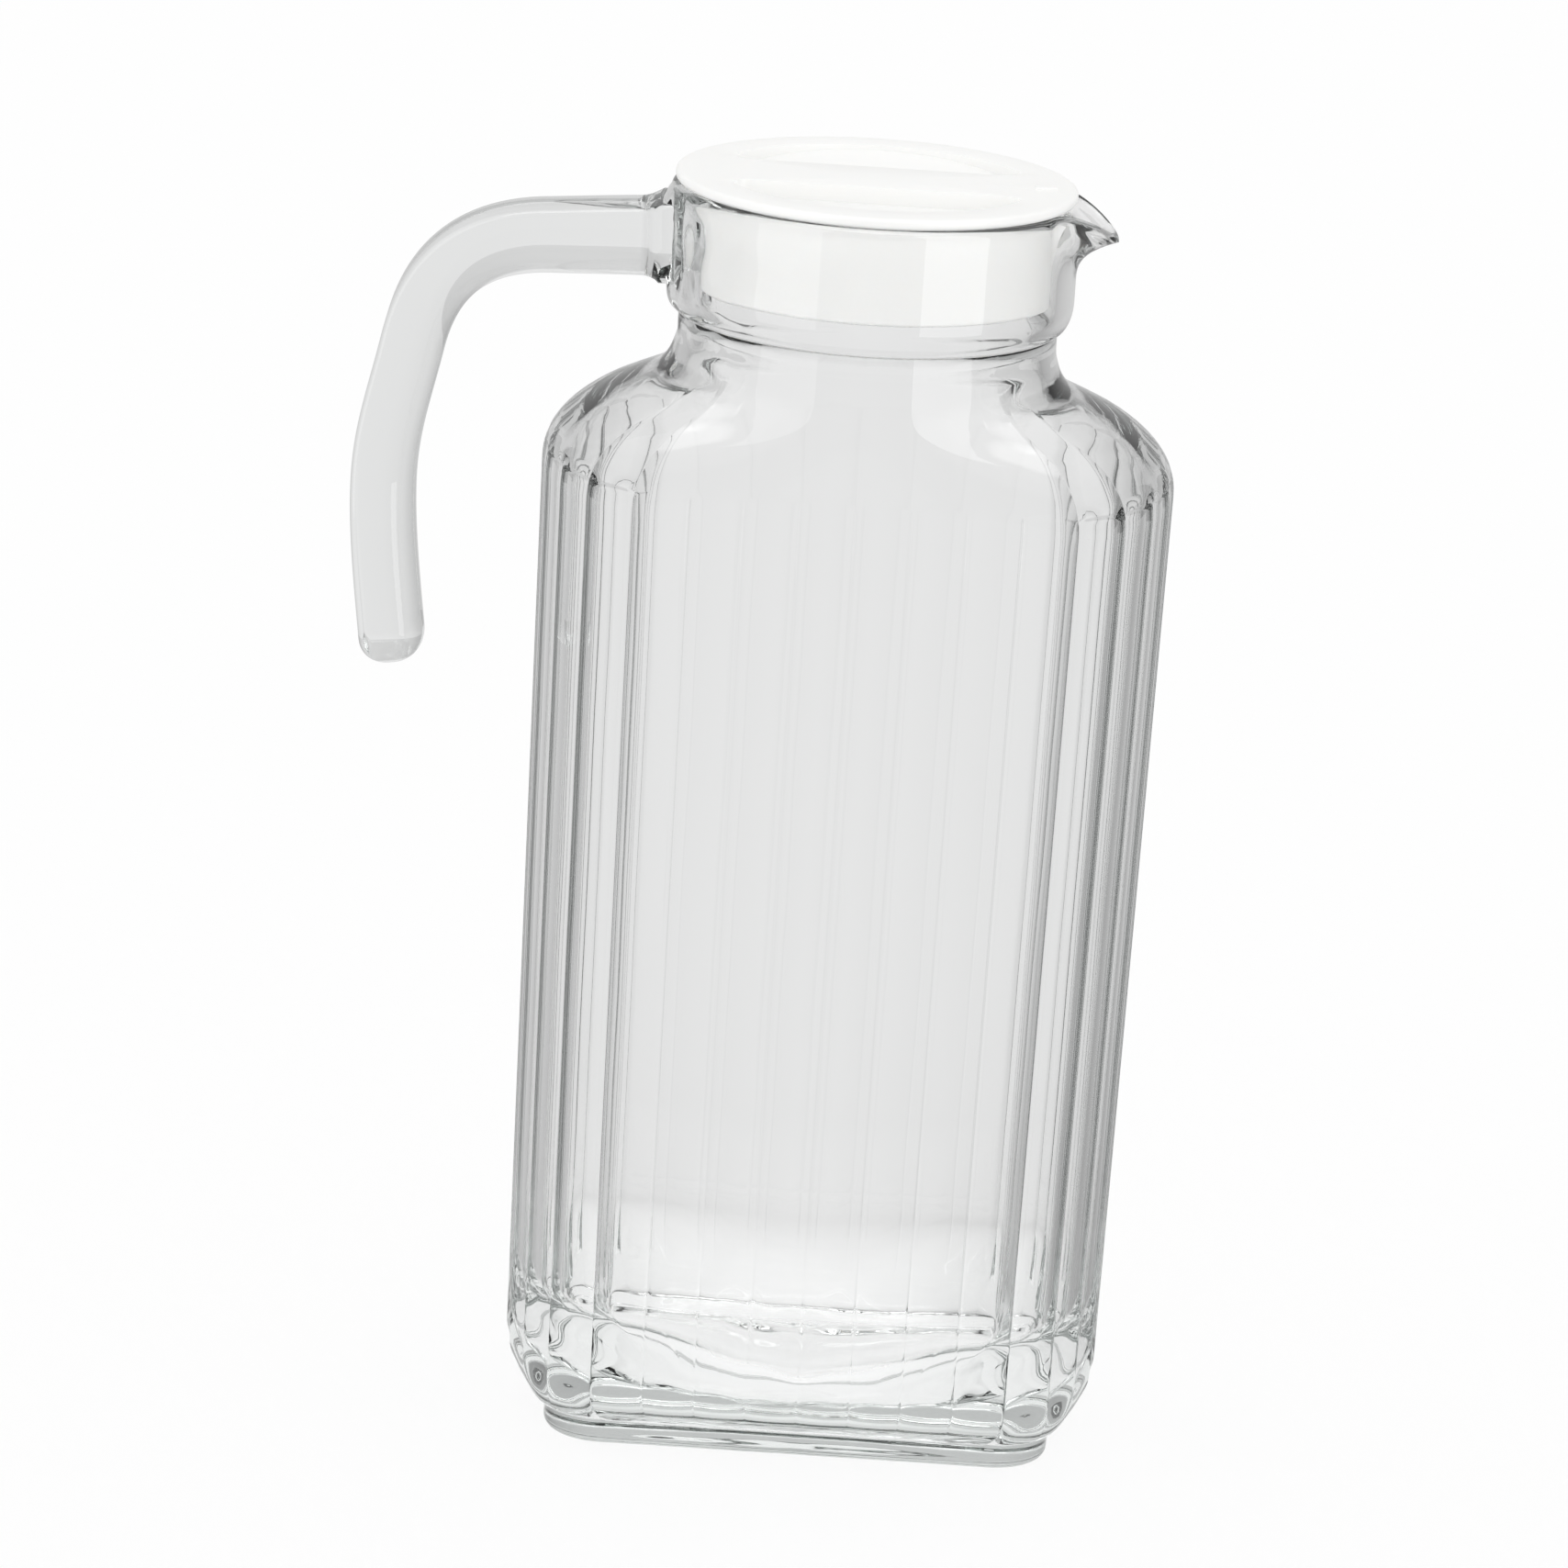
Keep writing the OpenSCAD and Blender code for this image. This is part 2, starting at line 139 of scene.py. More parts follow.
RIDGE_H = 0.09 * MM
RIDGE_SHARE = 0.015
FIRE_POLISH = 0.10
share_of_flute = np.tile(0.5 - 0.5 * np.cos(np.pi * np.arange(STEPS) / STEPS), 4 * FLUTES)
bow = 4 * share_of_flute * (1 - share_of_flute)
crown = np.hypot(bow, FIRE_POLISH) - FIRE_POLISH
flute_index = np.repeat(np.arange(4 * FLUTES), STEPS)
is_round = np.isin(flute_index % (2 * FLUTES), list(range(FLUTES - 1)) + [2 * FLUTES - 1])
print("points in a ring:", RING_POINTS, "of which on the round sides:", int(is_round.sum()))


def ring_through(ridges, sag):
    """A closed ring through the ridges, sunk between them by sag at each point."""
    start, end = ridges[flute_index], np.roll(ridges, -1, axis=0)[flute_index]
    along = (end - start) / np.linalg.norm(end - start, axis=1, keepdims=True)
    inward = np.stack([-along[:, 1], along[:, 0]], axis=1)
    return start + (end - start) * share_of_flute[:, None] + inward * sag[:, None]


# %% Sink the flutes, with an arch at each end
ridge_angle = 2 * math.atan2(BODY_D / 2, BODY_W * FLAT_SHARE) / FLUTES
SWELL = BODY_W / 2 * (1 - math.cos(ridge_angle / 2))


def flute_sag(z):
    """How deep the surface lies below the line between two ridges, at a height."""
    past_top = max(0, z - FLUTE_TOP_Z) / ARCH_H
    fading = min(1, max(0, FLUTE_LOW_Z - z) / FLUTE_FADE_H) ** 2
    depth = np.where(is_round, ROUND_FLUTE_D, FLAT_FLUTE_D)
    plain = -SWELL * bow * is_round
    ridge = RIDGE_H * (1 - np.exp(-(share_of_flute / RIDGE_SHARE) ** 2))
    cut = np.maximum(depth * (crown - past_top**2) + ridge, plain)
    return cut * (1 - fading) + plain * fading


def outer_ring(width, z):
    return ring_through(ridge_line(width, width * BODY_D / BODY_W), flute_sag(z))


def soften(ring, reach):
    """Round off a ring's corners by averaging each point with its neighbours."""
    weights = np.exp(-0.5 * (np.arange(-3 * reach, 3 * reach + 1) / reach) ** 2)
    shifted = [np.roll(ring, k, axis=0) for k in range(-3 * reach, 3 * reach + 1)]
    return sum(w * r for w, r in zip(weights, shifted)) / weights.sum()


def inner_ring(width, inset):
    """The smooth inside, set in from the flutes."""
    depth = width * BODY_D / BODY_W
    ridges = ridge_line(width - 2 * inset, depth - 2 * inset)
    return soften(ring_through(ridges, -SWELL * bow * is_round), reach=STEPS // 6)


directions = outer_ring(BODY_W, NECK_Z)
directions = directions / np.linalg.norm(directions, axis=1, keepdims=True)


def round_ring(radius):
    return directions * radius


def block_ring(half_x, half_y, radius):
    """A rounded rectangle, with one point in each of the ring's directions."""
    way = np.abs(directions)
    corner = np.array([half_x - radius, half_y - radius])
    along = way @ corner
    bend = along + np.sqrt(np.maximum(0, along**2 - corner @ corner + radius**2))
    side = np.where(way[:, 1] * half_x <= corner[1] * way[:, 0], half_x / way[:, 0], bend)
    reach = np.where(way[:, 0] * half_y <= corner[0] * way[:, 1], half_y / way[:, 1], side)
    return directions * reach[:, None]


def oval_ring(half_x, half_y):
    """An ellipse, with one point in each of the ring's directions."""
    reach = 1 / np.hypot(directions[:, 0] / half_x, directions[:, 1] / half_y)
    return directions * reach[:, None]


def foot_ring(grow):
    return block_ring(FOOT_W / 2 + grow, FOOT_D / 2 + grow, FOOT_R + grow)


def fade(distance, reach):
    """0 up to nothing, 1 from the reach on, and smooth between."""
    t = np.clip(distance / reach, 0, 1)
    return t * t * (3 - 2 * t)


def at_height(ring, z):
    return np.column_stack([ring, np.full(len(ring), z)])


def wall_width(z):
    share = (z - BOTTOM_EDGE_Z) / (WALL_Z - BOTTOM_EDGE_Z)
    return BASE_W + (BODY_W - BASE_W) * min(1, max(0, share))


print("flute pitch on the flats, mm:", round(2 * FLAT_SHARE * BODY_W / FLUTES / MM, 2))

# %% [markdown]
# ## Up the outside
# The foot is a low block with rounded corners and a soft lower edge. Its underside is hollowed a
# little, so that the jug stands on a rim and doesn't rock. Above it the bottom edge swells out in
# a quarter of an ellipse to the fluted wall. At the top the flutes end in small arches, and the
# shoulder sweeps in to a round neck. The collar above is thicker, so the rim can take the lid.

# %% Foot and rounded bottom edge
HOLLOW_H = 0.4 * MM
HOLLOW_EDGE = 7 * MM
HOLLOW_SHARES = (0.02, 0.3, 0.6, 0.85)
HOLLOW_POWER = 4
STANDING_RIM_W = 5.5 * MM
QUARTER = math.pi / 2


def onward(first, last, steps):
    """Evenly spaced values, from just after the first up to the last."""
    return np.linspace(first, last, steps + 1)[1:]


def foot_rings():
    rings = [at_height(foot_ring(-HOLLOW_EDGE) * share, HOLLOW_H * (1 - share**HOLLOW_POWER))
             for share in HOLLOW_SHARES]
    rings.append(at_height(foot_ring(-STANDING_RIM_W), 0))
    for a in np.linspace(0, QUARTER, 9):
        rings.append(at_height(foot_ring(FOOT_EDGE_R * (math.sin(a) - 1)),
                               FOOT_EDGE_R * (1 - math.cos(a))))
    for a in onward(0, QUARTER, steps=5):
        rings.append(at_height(foot_ring(LEDGE_W * (1 - math.cos(a))),
                               FOOT_H - LEDGE_W * (1 - math.sin(a))))
    return rings


def bottom_edge_rings():
    rings = []
    for a in onward(QUARTER, 0, steps=14):
        z = BOTTOM_EDGE_Z - BOTTOM_EDGE_H * math.sin(a)
        mix = 1 - math.cos(a)
        rings.append(at_height(outer_ring(BASE_W, z) * (1 - mix) + foot_ring(LEDGE_W) * mix, z))
    return rings


outside = foot_rings() + bottom_edge_rings()
print("rings from the foot to the wall:", len(outside))


# %% Fluted wall and shoulder
def wall_rings():
    return [at_height(outer_ring(wall_width(z), z), z)
            for z in onward(BOTTOM_EDGE_Z, FLUTE_TOP_Z, steps=39) if z < WALL_Z]


def shoulder_mix(low, high, share):
    return low + (high - low) * share**SHOULDER_POWER


def shoulder_rings():
    """Rings close together over the small arches, and further apart below and above them."""
    neck = round_ring(NECK_R + NECK_FLARE)
    below = np.linspace(WALL_Z, FLUTE_TOP_Z, 4)[:-1]
    near_arch = np.linspace(FLUTE_TOP_Z, FLUTE_TOP_Z + 1.05 * ARCH_H, 10)
    above = np.linspace(FLUTE_TOP_Z + 2 * ARCH_H, NECK_Z, 18)
    rings = []
    for z in np.concatenate([below, near_arch, above]):
        share = (z - WALL_Z) / SHOULDER_H
        rings.append(at_height(shoulder_mix(outer_ring(BODY_W, z), neck, share), z))
    return rings


outside += wall_rings() + shoulder_rings()
print("rings from the foot to the neck:", len(outside))

# %% Neck, collar and rim
def outside_profile():
    """Radius and height of the neck and collar, from the neck's foot to the outside of the rim."""
    points = [(NECK_R + NECK_FLARE * (1 - t) ** 2, NECK_Z + NECK_FLARE_H * t)
              for t in onward(0, 1, steps=9)]
    points.append((NECK_R, COLLAR_Z))
    for a in onward(0, QUARTER, steps=12):
        points.append((NECK_R + (COLLAR_R - NECK_R) * math.sin(a),
                       COLLAR_Z + COLLAR_EDGE_H * (1 - math.cos(a))))
    points += [(COLLAR_R, z) for z in onward(COLLAR_Z + COLLAR_EDGE_H, RIM_EDGE_Z, steps=15)]
    return points


def rim_profile():
    """Half a turn over the rim, from its outside to the bore of the mouth."""
    r = COLLAR_T / 2
    return [(COLLAR_R - r + r * math.cos(a), RIM_EDGE_Z + r * math.sin(a))
            for a in onward(0, math.pi, steps=14)]


def inside_profile():
    """Down the bore of the mouth, over the ledge and through the neck."""
    low = NECK_Z + NECK_FLARE_H
    points = [(MOUTH_R, z) for z in onward(RIM_EDGE_Z, LEDGE_Z, steps=15)]
    points += [(MOUTH_R + (BORE_R - MOUTH_R) * fade(t, 1), LEDGE_Z + (low - LEDGE_Z) * t)
               for t in onward(0, 1, steps=11)]
    points += [(BORE_R + NECK_FLARE * t**2, NECK_Z + NECK_FLARE_H * (1 - t))
               for t in onward(0, 1, steps=7)]
    return points


neck_and_mouth = [at_height(round_ring(r), z)
                  for r, z in outside_profile() + rim_profile() + inside_profile()]
print("rings from the neck over the rim and back:", len(neck_and_mouth))

# %% [markdown]
# ## Down the inside
# Breath pushed the soft glass against the mould, so the inside follows the outside only roughly:
# it has no flutes and its corners are rounder. The floor meets the wall in a large soft fillet,
# and the plan changes there from the wall's shape to an oval. Nothing shaped the inside, so a
# slow noise leaves its wall and floor a little uneven. Even glass would draw hard straight lines
# across the bottom, because each level there acts as a lens.

# %% Inner shoulder, wall and floor
FLOOR_HALF = (32 * MM, 17 * MM)
INSIDE_WAVE = 0.1 * MM
INSIDE_WAVE_L = 22 * MM
FLOOR_WAVE = 0.7 * MM
FLOOR_WAVE_L = 8 * MM
FLOOR_SHARES = np.linspace(0.94, 0.04, 14)
OVAL_BY = 0.75
SHOULDER_LOW_Z = NECK_Z - SHOULDER_H - WALL / 2


def inner_wall_ring(z):
    return inner_ring(wall_width(z), WALL + FLUTE_D)


def wavy(ring, z):
    """Breath leaves the inside a little uneven."""
    points = at_height(ring, z)
    wave = [INSIDE_WAVE * noise.noise(Vector(p) / INSIDE_WAVE_L) for p in points]
    return points * (1 + np.array(wave)[:, None] * [1, 1, 0] / np.hypot(*ring.T)[:, None])


def uneven(points, share):
    """Hot glass settles unevenly on the floor."""
    lift = [FLOOR_WAVE * share * noise.noise(Vector(p) / FLOOR_WAVE_L) for p in points]
    return points + np.array(lift)[:, None] * [0, 0, 1]


def inside_rings():
    high = round_ring(NECK_R + NECK_FLARE - WALL)
    low = inner_ring(BODY_W, WALL + FLUTE_D)
    rings = []
    for t in onward(1, 0, steps=23):
        z = SHOULDER_LOW_Z + (NECK_Z - SHOULDER_LOW_Z) * t
        rings.append(wavy(shoulder_mix(low, high, t), z))
    for z in onward(SHOULDER_LOW_Z, FLOOR_Z + FLOOR_R, steps=49):
        rings.append(wavy(inner_wall_ring(z), z))
    wall, floor = rings[-1][:, :2], oval_ring(*FLOOR_HALF)
    round_wall = oval_ring(*np.abs(wall).max(axis=0))
    for a in onward(0, QUARTER, steps=20):
        mix, oval = 1 - math.cos(a), fade(math.sin(a), OVAL_BY)
        bowl = wall * (1 - oval) + round_wall * oval
        rings.append(uneven(at_height(bowl * (1 - mix) + floor * mix,
                                      FLOOR_Z + FLOOR_R * (1 - math.sin(a))), oval))
    rings += [uneven(at_height(floor * share, FLOOR_Z), 1) for share in FLOOR_SHARES]
    return rings


inside = inside_rings()
print("rings down the inside:", len(inside))


# %% [markdown]
# ## The pulled lip and the pressed-on handle
# A tool pulls the hot rim outward and down to make the lip. Here the same is done to the points:
# those near +X move out and dip, most at the rim and nothing at the bend below it. The collar
# swells where the handle was pressed on. Fire polish rounds every bend, so the two bends of the
# neck are eased by averaging the rings beside them. The handle is a bar of glass on a curved
# line: crisp along its outer side, where the press closed, and rounded towards the fingers. A
# Boolean union makes jug and handle one closed skin, because light has to cross one body of
# glass, with no wall inside it.

# %% Pull the lip
LIP_OUT = 7.1 * MM
LIP_DROP = 5 * MM
LIP_H = 13.6 * MM
LIP_ANGLE = math.radians(27)
LIP_T = 2.4 * MM
LIP_DIP_POWER = 1.6
LIP_CURL_POWER = 3


def pull_lip(points):
    """Move the points of the collar's wall out and down around +X."""
    x, y, z = points.T
    radius, angle = np.hypot(x, y), np.arctan2(y, x)
    low, edge = RIM_Z - LIP_H, RIM_EDGE_Z
    on_lip = (z > low) & (radius > MOUTH_R - MM) & (np.abs(angle) < LIP_ANGLE)
    pull = np.where(on_lip, np.cos(np.pi / 2 * angle / LIP_ANGLE) ** 2, 0)
    rise = np.clip((z - low) / (edge - low), 0, 1)
    from_bore = np.clip((radius - MOUTH_R) / COLLAR_T, 0, 1)
    out = (LIP_OUT + (COLLAR_T - LIP_T) * (1 - from_bore)) * pull * rise**LIP_CURL_POWER
    x = x * (radius + out) / radius
    y = y * (radius + out) / radius
    z = z - LIP_DROP * pull**LIP_DIP_POWER * rise
    return np.column_stack([x, y, z])


print("lip:", LIP_OUT / MM, "mm out and", LIP_DROP / MM, "mm down")

# %% Press the boss for the handle
HANDLE_Z = RIM_Z - 11.4 * MM
BOSS_OUT = 1.2 * MM
BOSS_W = 16.4 * MM
BOSS_H = 17 * MM
BOSS_RISE = 1.6 * MM
BOSS_SOFT = 2.5 * MM
LUMP_H = 0.45 * MM
LUMP_L = 7 * MM
LUMP_FROM_X = -16 * MM
LUMP_FROM_Z = 190 * MM
LUMP_FADE = 12 * MM


def press_boss(points):
    """Swell the collar where the handle sits, with the uneven skin of glass pressed while hot."""
    x, y, z = points.T
    radius = np.hypot(x, y)
    on_collar = (radius > COLLAR_R - COLLAR_T / 3) & (x < 0)
    across = fade(BOSS_W / 2 - np.abs(y), BOSS_SOFT)
    up = fade(BOSS_H / 2 - np.abs(z - HANDLE_Z - BOSS_RISE), BOSS_SOFT)
    swell = np.where(on_collar, BOSS_OUT * across * up, 0)
    hot = fade(LUMP_FROM_X - x, LUMP_FADE) * fade(z - LUMP_FROM_Z, LUMP_FADE)
    hot = np.where(radius > NECK_R - MM, hot, 0) * (z < RIM_Z - COLLAR_T)
    lumps = [noise.noise(Vector(p) / LUMP_L) if h > 0 else 0 for p, h in zip(points, hot)]
    swell = swell + LUMP_H * hot * np.array(lumps)
    return np.column_stack([x * (radius + swell) / radius, y * (radius + swell) / radius, z])


print("handle meets the collar at", round(HANDLE_Z / MM, 1), "mm")

# %% Build a closed skin from rings
def mesh_object(name, points, faces):
    mesh = bpy.data.meshes.new(name)
    mesh.from_pydata([tuple(p) for p in points], [], faces)
    thing = bpy.data.objects.new(name, mesh)
    bpy.context.scene.collection.objects.link(thing)
    shape = bmesh.new()
    shape.from_mesh(mesh)
    bmesh.ops.recalc_face_normals(shape, faces=shape.faces)
    shape.to_mesh(mesh)
    shape.free()
    return thing


def skin(name, rings, change=None):
    """Join rings with four-sided faces and close both ends with a fan."""
    count, last = len(rings[0]), len(rings) - 1
    points = np.concatenate(rings + [rings[0].mean(axis=0)[None], rings[-1].mean(axis=0)[None]])
    if change:
        points = change(points)
    low, high = count * (last + 1), count * (last + 1) + 1
    faces = [(j * count + i, j * count + (i + 1) % count,
              (j + 1) * count + (i + 1) % count, (j + 1) * count + i)
             for j in range(last) for i in range(count)]
    faces += [(low, (i + 1) % count, i) for i in range(count)]
    faces += [(high, last * count + i, last * count + (i + 1) % count) for i in range(count)]
    return mesh_object(name, points, faces)


def volume_cm3(thing):
    shape = bmesh.new()
    shape.from_mesh(thing.data)
    volume = shape.calc_volume()
    shape.free()
    return round(volume / (10 * MM) ** 3, 2)


def shape_glass(points):
    return press_boss(pull_lip(points))


def ease(rings, middle, reach=6, passes=8):
    """Round the bend at a ring by averaging it and its neighbours along the jug."""
    for _ in range(passes):
        for j in range(middle - reach, middle + reach + 1):
            rings[j] = rings[j] / 2 + (rings[j - 1] + rings[j + 1]) / 4
    return rings


neck_foot, inner_neck_foot = len(outside) - 1, len(outside) + len(neck_and_mouth) - 1
glass_rings = outside + neck_and_mouth + inside
glass_rings = ease(ease(glass_rings, neck_foot), inner_neck_foot)
jug = skin("jug_glass", glass_rings, shape_glass)
print("jug without its handle:", len(glass_rings), "rings,", len(jug.data.polygons), "faces,",
      volume_cm3(jug), "cm3 of glass")

# %% Draw the handle's line
HANDLE_REACH = 84 * MM
HANDLE_DROP = 80 * MM
ROOT_X = -COLLAR_R + 1.2 * MM
HANDLE_ROOT_T = 13 * MM
HANDLE_T = 11.4 * MM
HANDLE_W = 14 * MM
HANDLE_EDGE_R = 1.1 * MM
HANDLE_INNER_R = 6 * MM
HANDLE_NOSE_SHARE = 0.96
SEAM_X = -COLLAR_R - 1.3 * MM
BEND_SHARES = [(0, 0), (0.17, 0.004), (0.3, 0.01), (0.42, 0.014), (0.74, 0.024), (0.87, 0.125),
               (0.915, 0.26), (0.955, 0.38), (1, 0.46), (1, 0.575), (1, 0.69), (0.965, 0.82),
               (0.94, 0.929)]
CURVE_STEPS = 26
CORNER_STEPS = 8


def handle_line():
    """Three Bezier curves: out from the root, over the bend and down the grip."""
    span = HANDLE_REACH + SEAM_X
    knots = np.array([(SEAM_X - span * a, HANDLE_Z - HANDLE_DROP * b) for a, b in BEND_SHARES])
    line = []
    for first in range(0, len(knots) - 1, 3):
        p = knots[first:first + 4]
        for t in np.arange(CURVE_STEPS) / CURVE_STEPS:
            line.append((1 - t) ** 3 * p[0] + 3 * (1 - t) ** 2 * t * p[1]
                        + 3 * (1 - t) * t * t * p[2] + t**3 * p[3])
    return np.array(line + [knots[-1]])


def round_corners(corners, radii):
    """A closed outline with an arc at each corner."""
    outline = []
    for i, radius in enumerate(radii):
        here = np.array(corners[i])
        back = np.array(corners[i - 1]) - here
        ahead = np.array(corners[(i + 1) % len(corners)]) - here
        back, ahead = back / np.linalg.norm(back), ahead / np.linalg.norm(ahead)
        half = math.acos(back @ ahead) / 2
        centre = here + (back + ahead) / np.linalg.norm(back + ahead) * radius / math.sin(half)
        start = here + back * radius / math.tan(half) - centre
        turn = math.pi - 2 * half
        for t in np.linspace(0, turn, CORNER_STEPS + 1):
            c, d = math.cos(t), math.sin(t)
            outline.append(centre + [c * start[0] - d * start[1], d * start[0] + c * start[1]])
    return np.array(outline)


def bar_section(thick, wide, shrink=1.0):
    """Flat and crisp outside, and drawn in to a rounded nose on the side of the fingers."""
    out, nose, side = thick / 2, wide / 2 * HANDLE_NOSE_SHARE, wide / 2
    corners = [(out, nose), (-out, side), (-out, -side), (out, -nose)]
    radii = [HANDLE_INNER_R * shrink, HANDLE_EDGE_R * shrink]
    return round_corners(corners, radii + radii[::-1])


print("handle reaches", HANDLE_REACH / MM, "mm from the axis and hangs", HANDLE_DROP / MM, "mm")

# %% Sweep the handle, flare its root and round its tip
FLARE_L = 3.5 * MM
FLARE_OUT = 1.1 * MM
TIP_ANGLE = math.radians(84)


def handle_rings():
    line = handle_line()
    ways = np.gradient(line, axis=0)
    ways /= np.linalg.norm(ways, axis=1, keepdims=True)
    root_steps = 2 * CURVE_STEPS
    straight_out = np.array([-1.0, 0])
    rings = []

    def add(place, way, section):
        side = np.array([-way[1], way[0]])
        rings.append(np.column_stack([place[0] + side[0] * section[:, 0], section[:, 1],
                                      place[1] + side[1] * section[:, 0]]))

    root = bar_section(HANDLE_ROOT_T + 2 * FLARE_OUT, HANDLE_W + 2 * FLARE_OUT)
    add(np.array([ROOT_X, HANDLE_Z]), straight_out, root)
    for i, place in enumerate(line):
        thick = HANDLE_ROOT_T + (HANDLE_T - HANDLE_ROOT_T) * min(1, i / root_steps)
        far = max(0.0, 1 - (SEAM_X - place[0]) / FLARE_L) if i < root_steps else 0.0
        grow = 2 * FLARE_OUT * far**2
        way = ways[i] if i else straight_out
        add(place, way, bar_section(thick + grow, HANDLE_W + grow))
    for a in onward(0, TIP_ANGLE, steps=12):
        narrow = 1 - (1 - math.cos(a)) * HANDLE_T / HANDLE_W
        tip = bar_section(HANDLE_T * math.cos(a), HANDLE_W * narrow, math.cos(a))
        add(line[-1] + ways[-1] * HANDLE_T / 2 * math.sin(a), ways[-1], tip)
    return rings


bar = skin("handle_bar", handle_rings())
print("handle:", len(bar.data.polygons), "faces,", volume_cm3(bar), "cm3")


# %% Join jug and handle into one skin
def settle(thing):
    """Turn what the modifiers show into the mesh itself."""
    bpy.context.view_layer.update()
    result = thing.evaluated_get(bpy.context.evaluated_depsgraph_get())
    mesh = bpy.data.meshes.new_from_object(result)
    thing.modifiers.clear()
    thing.data = mesh


def combine(thing, tool, operation):
    """Apply a Boolean with a tool object, then throw the tool away."""
    step = thing.modifiers.new("combine", "BOOLEAN")
    step.object, step.operation, step.solver = tool, operation, "MANIFOLD"
    settle(thing)
    bpy.data.objects.remove(tool)


def smooth_under(thing, angle):
    """Shade smooth, but keep edges sharper than the angle crisp."""
    thing.data.shade_smooth()
    thing.data.set_sharp_from_angle(angle=math.radians(angle))


combine(jug, bar, "UNION")
smooth_under(jug, angle=60)
print("jug with its handle:", volume_cm3(jug), "cm3 of glass")

# %% [markdown]
# ## The lid
# The lid is one moulding: a disc that rests on the rim, a skirt that plugs the mouth, and two
# finger scoops that leave a bar between them to grip and turn. It is made as a moulder would
# design it: a turned outline first, then the scoops and the pouring notch cut from it, and a
# small radius on every cut edge, because plastic leaves a mould with no sharp edges.

# %% Turn the disc and skirt
SKIRT_T = 1.6 * MM
LID_EDGE_R = 0.8 * MM
SKIRT_ROOT_W = 0.3 * MM
SKIRT_ROOT_H = 0.4 * MM
TOP_BAND_W = 3 * MM
CENTRE_R = 1 * MM
LID_STEPS = 160


def turned(name, profile):
    turns = 2 * np.pi * np.arange(LID_STEPS) / LID_STEPS
    circle = np.column_stack([np.cos(turns), np.sin(turns)])
    return skin(name, [at_height(circle * r, z) for r, z in profile])


def rounded(centre, radius, start, end, steps=6):
    return [(centre[0] + radius * math.cos(a), centre[1] + radius * math.sin(a))
            for a in np.linspace(math.radians(start), math.radians(end), steps + 1)]


def lid_profile():
    """Radius and height, from the middle underneath, round the skirt, to the middle of the top."""
    under, bore = LID_TOP_Z - LID_T, SKIRT_R - SKIRT_T
    edge, foot = LID_EDGE_R, SKIRT_T / 2
    points = [(CENTRE_R, under), (bore - edge, under)]
    points += rounded((bore - edge, under - edge), edge, 90, 0)
    points += rounded((bore + foot, SKIRT_Z + foot), foot, 180, 360, steps=10)
    points += [(SKIRT_R, under - SKIRT_ROOT_H), (SKIRT_R + SKIRT_ROOT_W, under)]
    points += rounded((LID_R - edge, under + edge), edge, -90, 0)
    points += rounded((LID_R - edge, LID_TOP_Z - edge), edge, 0, 90)
    points += [(LID_R - TOP_BAND_W, LID_TOP_Z), (CENTRE_R, LID_TOP_Z)]
    return points


lid = turned("lid_moulding", lid_profile())
print("lid blank:", volume_cm3(lid), "cm3")

# %% Cut the two finger scoops
BAR_W = 18 * MM
SCOOP_R = 28.2 * MM
SCOOP_D = 3 * MM
SCOOP_RIM_D = 0.8 * MM
SCOOP_T = 1.4 * MM
SCOOP_CORNER_R = 3 * MM
MID_DISC_Z = LID_TOP_Z - LID_T / 2


def half_moon(radius, chord, corner, side):
    """The outline of a scoop: an arc and a straight chord, with rounded corners."""
    inner = radius - corner
    reach = math.sqrt(inner**2 - (chord + corner) ** 2)
    tilt = math.atan2(chord + corner, reach)
    right = [(reach + corner * math.cos(a), chord + corner + corner * math.sin(a))
             for a in np.linspace(-math.pi / 2, tilt, 10)]
    arc = [(radius * math.cos(a), radius * math.sin(a))
           for a in np.linspace(tilt, math.pi - tilt, 60)[1:-1]]
    left = [(-x, y) for x, y in reversed(right)]
    return [(x, side * y) for x, y in right + arc + left]


def block(name, first, second):
    """A solid between two outlines with the same number of points."""
    count = len(first)
    faces = [tuple(range(count)), tuple(range(count, 2 * count))]
    faces += [(i, (i + 1) % count, count + (i + 1) % count, count + i) for i in range(count)]
    return mesh_object(name, first + second, faces)


def prism(name, outline, low, high):
    """A solid over an outline. The heights low and high are functions of a point."""
    return block(name, [(x, y, low(x, y)) for x, y in outline],
                 [(x, y, high(x, y)) for x, y in outline])


def scoop_floor(drop):
    slope = (SCOOP_D - SCOOP_RIM_D) / (SCOOP_R - BAR_W / 2)
    return lambda x, y: LID_TOP_Z - SCOOP_D - drop + slope * (abs(y) - BAR_W / 2)


def flat_at(z):
    return lambda x, y: z


for side in (-1, 1):
    pocket = half_moon(SCOOP_R + SCOOP_T, BAR_W / 2 - SCOOP_T, SCOOP_CORNER_R + SCOOP_T, side)
    combine(lid, prism("pocket", pocket, scoop_floor(SCOOP_T), flat_at(MID_DISC_Z)), "UNION")
for side in (-1, 1):
    hole = half_moon(SCOOP_R, BAR_W / 2, SCOOP_CORNER_R, side)
    combine(lid, prism("scoop", hole, scoop_floor(0), flat_at(LID_TOP_Z + MM)), "DIFFERENCE")
print("lid with its scoops:", volume_cm3(lid), "cm3")

# %% Cut the pouring notch and add the pointer
NOTCH_W = 22 * MM
NOTCH_H = 13.5 * MM
NOTCH_R = 2.5 * MM
POINTER_L = 4 * MM
POINTER_H = 0.3 * MM


